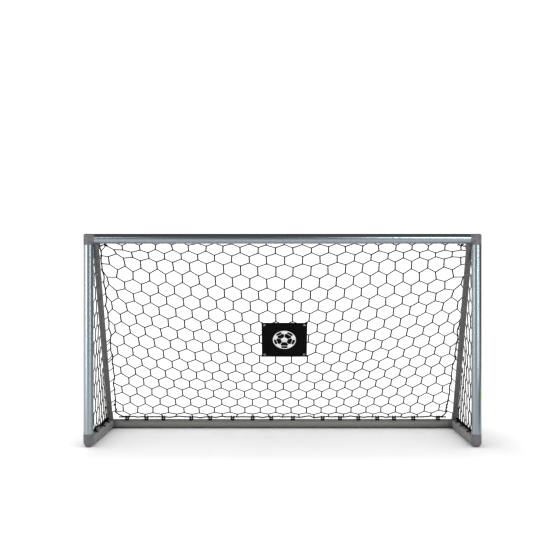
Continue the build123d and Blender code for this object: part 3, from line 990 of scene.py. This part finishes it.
def make_springs():
    """The coil springs behind the snap buttons, each drawn as one fixed coil; the real ones close up as the
    buttons are pressed in.
    """
    for word, side in SIDES:
        top, foot = stay_line(side)
        along = unit(foot - top)
        out = unit(np.array([0, -1, 0]) + along * along[1])
        across = np.cross(out, along)
        points = node_points(f"{word}_button_spring")
        reach = points @ out
        low, high = reach.min() + SPRING_WIRE_R, reach.max() - SPRING_WIRE_R
        middle = (points.min(axis=0) + points.max(axis=0)) / 2
        seat = middle + out * (low - middle @ out)
        turn = np.linspace(0, 2 * math.pi * SPRING_TURNS, 16 * SPRING_TURNS + 1)[:, None]
        rise = turn / turn[-1] * (high - low)
        wire_line = seat + out * rise + SPRING_R * (np.cos(turn) * along + np.sin(turn) * across)
        coil = Strands()
        coil.tube(wire_line, SPRING_WIRE_R, 8)
        spring = coil.build(f"{word}_spring_coil", "steel", "steel", None)
        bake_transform(spring)
        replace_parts(spring, f"{word}_button_spring")


# ---- the sign ----

SHEET_T = 0.0012
HEM = 0.011
HEM_T = 0.0006
STITCH_STEP, STITCH_LENGTH = 0.0052, 0.0036
STITCH_OFF = 0.0013  # from the middle of the cloth
THREAD_R = 0.0003


def sign_lift(u, v):
    """How far the cloth stands off its plane: nothing at the eyelets, shallow waves between."""
    x, y = 2 * u / SIGN_W, 2 * v / SIGN_H
    free = 1 - (x * y) ** 2
    waves = 0.5 * np.sin(3.1 * x + 0.8) * np.cos(1.7 * y) + 0.3 * np.sin(5.3 * y + 1.1 * x)
    return free * (0.0026 * waves - 0.002 * (1 - x * x) * (1 - y * y))


def sign_point(u, v, off=0.0):
    return SIGN_MIDDLE + np.array([1, 0, 0]) * u + SIGN_UP * v + SIGN_OUT * (sign_lift(u, v) + off)


def closed_sheet(name, us, vs, low, high):
    """A closed thin sheet on the sign's surface, over a grid of places."""
    points, faces = [], []
    nu, nv = len(us), len(vs)
    for off in (low, high):
        points += [sign_point(u, v, off) for v in vs for u in us]

    def at(layer, i, j):
        return layer * nu * nv + j * nu + i

    for i in range(nu - 1):
        for j in range(nv - 1):
            faces.append((at(1, i, j), at(1, i + 1, j), at(1, i + 1, j + 1), at(1, i, j + 1)))
            faces.append((at(0, i, j + 1), at(0, i + 1, j + 1), at(0, i + 1, j), at(0, i, j)))
    rims = [((i, j), (i + 1, j), j > 0) for i in range(nu - 1) for j in (0, nv - 1)]
    rims += [((i, j), (i, j + 1), i == 0) for j in range(nv - 1) for i in (0, nu - 1)]
    for start, end, flip in rims:
        quad = (at(0, *start), at(0, *end), at(1, *end), at(1, *start))
        faces.append(tuple(reversed(quad)) if flip else quad)
    return make_piece(make_mesh(name, [tuple(p) for p in points], faces, looks["vinyl"]))


def make_sign():
    """The stretched cloth, its four hems and their stitches."""
    u_edge, v_edge = SIGN_W / 2, SIGN_H / 2
    us, vs = np.linspace(-u_edge, u_edge, 53), np.linspace(-v_edge, v_edge, 49)
    cloth = closed_sheet("sign_cloth", us, vs, -SHEET_T / 2, SHEET_T / 2)
    up = np.linspace(-v_edge + HEM, v_edge - HEM, 45)
    bands = (
        ("top", us, np.linspace(v_edge - HEM, v_edge, 4)),
        ("low", us, np.linspace(-v_edge, -v_edge + HEM, 4)),
        ("left", np.linspace(-u_edge, -u_edge + HEM, 4), up),
        ("right", np.linspace(u_edge - HEM, u_edge, 4), up),
    )
    low, high = SHEET_T / 2, SHEET_T / 2 + HEM_T
    hems = [closed_sheet(f"sign_hem_{word}", band_u, band_v, low, high) for word, band_u, band_v in bands]
    stitches = Strands()
    inset, parts = HEM - 0.002, np.array((0, 0.5, 1)) * STITCH_LENGTH
    for v in (-v_edge + inset, v_edge - inset):
        for u in np.arange(-u_edge + inset, u_edge - inset - STITCH_LENGTH, STITCH_STEP):
            stitches.tube([sign_point(u + part, v, STITCH_OFF) for part in parts], THREAD_R, 4)
    for u in (-u_edge + inset, u_edge - inset):
        for v in np.arange(-v_edge + inset, v_edge - inset - STITCH_LENGTH, STITCH_STEP):
            stitches.tube([sign_point(u, v + part, STITCH_OFF) for part in parts], THREAD_R, 4)
    thread = stitches.build("sign_stitches", "cord", "net_cord")
    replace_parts(cloth, "sign_panel")


def polygon_print(outlines):
    """White print: filled outlines on the sign, each a fan of thin closed wedges."""
    points, faces = [], []
    for outline in outlines:
        ring = []
        for (u0, v0), (u1, v1) in zip(outline, outline[1:] + outline[:1], strict=True):
            ring += [(u0 + (u1 - u0) * t, v0 + (v1 - v0) * t) for t in (0, 0.5)]
        middle = (sum(p[0] for p in ring) / len(ring), sum(p[1] for p in ring) / len(ring))
        start, n = len(points), len(ring)
        for off in (SHEET_T / 2 - 0.0001, SHEET_T / 2 + 0.0004):
            points += [tuple(sign_point(u, v, off)) for u, v in ring + [middle]]
        for k in range(n):
            j = (k + 1) % n
            low, high = start, start + n + 1
            faces.append((high + k, high + j, high + n))
            faces.append((low + j, low + k, low + n))
            faces.append((low + k, low + j, high + j, high + k))
    make_piece(make_mesh("sign_print", points, faces, looks["print"]))


# The ball's outlines, as (radius, degrees from the outline's own middle)
BALL_R, BALL_IN_R = 0.068, 0.0615
RING_PART = ((BALL_IN_R, 0), (BALL_R, 0), (BALL_R, 5), (BALL_IN_R, 5))
PENTAGON = tuple((0.023, 72 * k) for k in range(5))
SPOKE = ((0.021, -5), (0.042, -2.6), (0.042, 2.6), (0.021, 5))
PATCH_R = 0.0635
PATCH = ((0.040, 0), (0.050, -19), *((PATCH_R, turn) for turn in (-17, -8, 0, 8, 17)), (0.050, 19))
PATCH_JOIN = ((0.050, -17), (0.0475, 0), (0.050, 17), (0.0465, 17), (0.0435, 0), (0.0465, -17))


def turned(outline, degrees):
    angles = [(radius, math.radians(degrees + turn)) for radius, turn in outline]
    return [(radius * math.cos(angle), radius * math.sin(angle)) for radius, angle in angles]


def make_print():
    """A plain ball pictogram: a ring, a pentagon, its spokes and the edge patches."""
    outlines = [turned(PENTAGON, 90)] + [turned(RING_PART, degrees) for degrees in range(0, 360, 5)]
    for degrees in range(90, 450, 72):
        outlines += [turned(SPOKE, degrees), turned(PATCH, degrees), turned(PATCH_JOIN, degrees + 36)]
    polygon_print(outlines)


# (radius, height): the barrel, the front's rolled rim, and the flatter one behind
EYELET = (
    (0.0033, -0.0010), (0.0033, 0.0010), (0.0040, 0.0019), (0.0053, 0.0022), (0.0066, 0.0019),
    (0.0073, 0.0011), (0.0070, 0.0007), (0.0043, 0.0006), (0.0043, -0.0006), (0.0068, -0.0007),
    (0.0071, -0.0011), (0.0060, -0.0016), (0.0045, -0.0017),
)
EYELET_TURNS = 28


def make_eyelets(corners):
    """Pressed eyelets: a barrel through the cloth with a rolled rim on each side."""
    points, faces, n = [], [], len(EYELET)
    for corner in corners:
        start = len(points)
        for k in range(EYELET_TURNS):
            angle = 2 * math.pi * k / EYELET_TURNS
            way = math.cos(angle) * np.array([1, 0, 0]) + math.sin(angle) * SIGN_UP
            points += [tuple(corner + way * r + SIGN_OUT * z) for r, z in EYELET]
            a, b = start + k * n, start + (k + 1) % EYELET_TURNS * n
            for i in range(n):
                j = (i + 1) % n
                faces.append((a + i, a + j, b + j, b + i))
    rings = make_mesh("sign_eyelet_rings", points, faces, looks["eyelet"], True)
    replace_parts(make_piece(rings), "sign_eyelets")


def make_ties(corners, net):
    """A cord through each eyelet, round the sign's edge and back to where the net is nearest."""
    ties = Strands()
    for corner in corners:
        knot = net.places[np.argmin(norm(net.places - corner, axis=1))]
        out = corner - SIGN_MIDDLE
        out = unit(out - SIGN_OUT * np.dot(out, SIGN_OUT))
        loop = [
            knot, corner - SIGN_OUT * 0.004, corner + SIGN_OUT * 0.0015 + out * 0.001,
            corner + SIGN_OUT * 0.0048 + out * 0.007, corner + SIGN_OUT * 0.0045 + out * 0.015,
            corner + out * 0.0235, corner - SIGN_OUT * 0.005 + out * 0.019, knot + out * 0.003,
        ]
        ties.twisted(smooth(loop, 5), 0.0007, 0.0009, 0.008)
        ties.knot(knot, out, 0.009, 0.007)
    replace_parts(ties.build("sign_cord_ties", "cord", "net_cord"), "sign_ties")


# ---- stage, camera and lights ----

CAMERA_AWAY = 5.85  # in front of the posts' axes
CAMERA_Z = 0.928
SENSOR_MM = 36.0
LENS_MM = 68.270968
SHIFT_X = -0.0062724  # of the picture's width
VIEW_GAMMA = 0.70
SKY_STRENGTH = 1.18
FLOOR_REACH = 40.0
# the grey of the painted shadow on the floor under the goal
FLOOR_PAINTED_SHADOW = 0.885
CARD_TOP = 3.4
CARD_SPLIT = 1.3  # the cards by the camera are darker above it
CAMERA_CARDS = (("left", -2.0, -0.8, 0.7), ("middle", -0.8, 0.8, 0.54), ("right", 0.8, 2.0, 0.7))


def make_camera():
    data = bpy.data.cameras.new("camera")
    data.sensor_width, data.lens, data.shift_x = SENSOR_MM, LENS_MM, SHIFT_X
    scene.camera = make_object("camera", data)
    scene.camera.location = (0, FRONT_Y - CAMERA_AWAY, CAMERA_Z)
    scene.camera.rotation_euler = (math.pi / 2, 0, 0)


def area_light(name, place, target, size, radiance):
    """A soft box, as bright as its radiance says whatever its size."""
    data = bpy.data.lights.new(name, "AREA")
    data.shape = "RECTANGLE"
    data.size, data.size_y = size
    data.energy = radiance * math.pi * size[0] * size[1]
    obj = make_object(name, data)
    obj.location = place
    obj.rotation_euler = (Vector(target) - Vector(place)).to_track_quat("-Z", "Y").to_euler()
    obj.visible_camera = obj.visible_diffuse = False


def card(name, corners, shade):
    """A card outside the picture, seen only in the metal."""
    material, _, shader = principled(name)
    put(shader, Base_Color=(0, 0, 0, 1), Specular_IOR_Level=0.0)
    put(shader, Emission_Color=(shade, shade * 1.04, shade * 1.06, 1), Emission_Strength=1.0)
    obj = make_object(name, make_mesh(name, corners, [(0, 1, 2, 3)], material))
    obj.visible_camera = obj.visible_diffuse = obj.visible_shadow = False


def upright(start, end, low, high):
    """The corners of an upright card over two places on the floor."""
    return [(*start, low), (*end, low), (*end, high), (*start, high)]


def floor_material():
    """White paper, with a painted soft-edged shadow under the goal."""
    material, tree, shader = principled("floor_paper")
    parts = add(tree, "ShaderNodeSeparateXYZ")
    wire(add(tree, "ShaderNodeTexCoord").outputs["Object"], parts, "Vector")
    painted_shadow = None
    # painted shadow: the floor's colour turns grey inside these four soft edges
    for axis, start, end in (
        ("X", -POST_X - 0.02, -POST_X + 0.05), ("X", POST_X + 0.55, POST_X + 0.1),
        ("Y", FRONT_Y - 0.9, FRONT_Y - 0.2), ("Y", REAR_Y + 0.9, REAR_Y + 0.1),
    ):
        fade = add(tree, "ShaderNodeMapRange", interpolation_type="SMOOTHSTEP", From_Min=start, From_Max=end)
        wire(parts.outputs[axis], fade, "Value")
        if painted_shadow:
            wire(painted_shadow, fade, "To Max")
        painted_shadow = fade.outputs["Result"]
    color = ramp(painted_shadow, [(0.0, (1.0,) * 3), (1.0, (FLOOR_PAINTED_SHADOW,) * 3)])
    paint(shader, color, Roughness=1.0, Specular_IOR_Level=0.0)
    return material


def make_stage():
    """White surroundings, the floor, and the cards that the metal reflects."""
    world = bpy.data.worlds.new("studio")
    scene.world = world
    world.use_nodes = True
    put(world.node_tree.nodes["Background"], Color=(1.0, 1.0, 1.0, 1), Strength=SKY_STRENGTH)
    corners = [(x * FLOOR_REACH, y * FLOOR_REACH, 0) for x, y in ((-1, -1), (1, -1), (1, 1), (-1, 1))]
    make_object("floor", make_mesh("floor", corners, [(0, 1, 2, 3)], floor_material()))
    near, back, side = FRONT_Y, FRONT_Y - 3.3, POST_X + 3.6
    card("ceiling_card", [(x, y, CARD_TOP) for x, y in ((-14, -9), (14, -9), (14, 6), (-14, 6))], 0.25)
    for name, low, high, shade in CAMERA_CARDS:
        card(f"{name}_camera_card", upright((low, back), (high, back), 0, CARD_SPLIT), shade)
    card("upper_card", upright((-2.0, back), (2.0, back), CARD_SPLIT, CARD_TOP), 0.27)
    card("side_card", upright((side, near - 1.4), (side, near + 4), 0, 3.3), 0.25)
    card("low_card", upright((POST_X + 0.15, near - 0.85), (POST_X + 0.9, near - 0.15), 0, 0.3), 0.4)


def make_lights():
    """Soft boxes that draw the streaks on the posts and the crossbar."""
    near = FRONT_Y
    area_light("left_strip", (-2.44, near - 1.46, 1.4), (-POST_X, near, 1.4), (0.6, 1.4), 4.1)
    area_light("left_strip_low", (-2.44, near - 1.46, 0.4), (-POST_X, near, 0.4), (0.6, 0.6), 2.6)
    area_light("right_strip", (2.75, near - 4.0, 1.15), (0, near, 1.15), (0.8, 2.1), 5.0)
    area_light("top_right", (1.45, near - 2.6, 2.2), (1.2, near, 1.15), (1.4, 0.85), 5.4)
    area_light("top_left", (-1.75, near - 2.6, 2.36), (-1.3, near, 1.15), (0.7, 0.36), 7.0)


make_camera()
make_stage()
make_lights()
scene.view_settings.view_transform = "Standard"
scene.view_settings.gamma = VIEW_GAMMA
dress_nodes()
make_ropes()
make_seams()
make_edges()
make_springs()

eyelets = sign_corners()
net, row_tops, row_lows = back_panel()
tie_to_ropes(net, row_tops, row_lows)
steps = FULL_STEPS
net.hang(steps, push_back_net)
draw_net(net, "back", "back_net")
for word, side in SIDES:
    panel = side_panel(side)
    panel.hang(steps, push_off_stays)
    draw_net(panel, word, f"{word}_side_net", SIDE_THICK)
make_sign()
make_print()
make_eyelets(eyelets)
make_ties(eyelets, net)
make_seam_feet()
